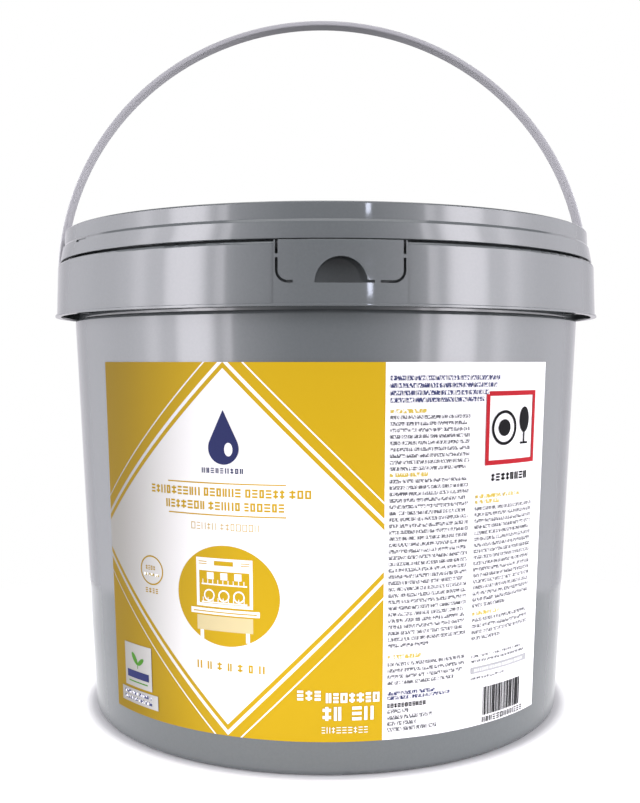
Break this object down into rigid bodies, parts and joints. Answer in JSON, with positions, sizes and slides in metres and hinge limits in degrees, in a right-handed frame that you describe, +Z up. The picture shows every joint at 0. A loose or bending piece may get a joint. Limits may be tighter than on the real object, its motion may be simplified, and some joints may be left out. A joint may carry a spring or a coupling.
{
  "type": "dishwasher tablet tub",
  "caption": "Round tapered plastic tub with a snap lid, swinging plastic bail, tear tab, front label and dishwasher tablets inside.",
  "frame": {"origin": "middle of the base, on the surface the tub stands on", "axes": "+Z up through the lid, -Y towards the tear tab and the label, X along the line of the bail's pivots"},
  "size_m": [0.2278, 0.2262, 0.2866],
  "materials": {
    "tub_plastic": "glossy moulded polypropylene",
    "bail_plastic": "satin moulded polypropylene",
    "label_print": "gloss printed film",
    "tablet": "pressed powder"
  },
  "bodies": {
    "tub": {"bucket": "tub_plastic", "label": "label_print", "tablets": "tablet"},
    "lid": {"lid": "tub_plastic"},
    "bail": {"bail_handle": "bail_plastic"}
  },
  "joints": [
    {"name": "bail_swing", "type": "hinge", "parent": "tub", "child": "bail", "pos_m": [0, 0, 0.168], "axis": [1, 0, 0], "range_deg": [-95, 95]},
    {"name": "lid_lift", "type": "slide", "parent": "tub", "child": "lid", "axis": [0, 0, 1], "range_m": [0, 0.0045]}
  ]
}
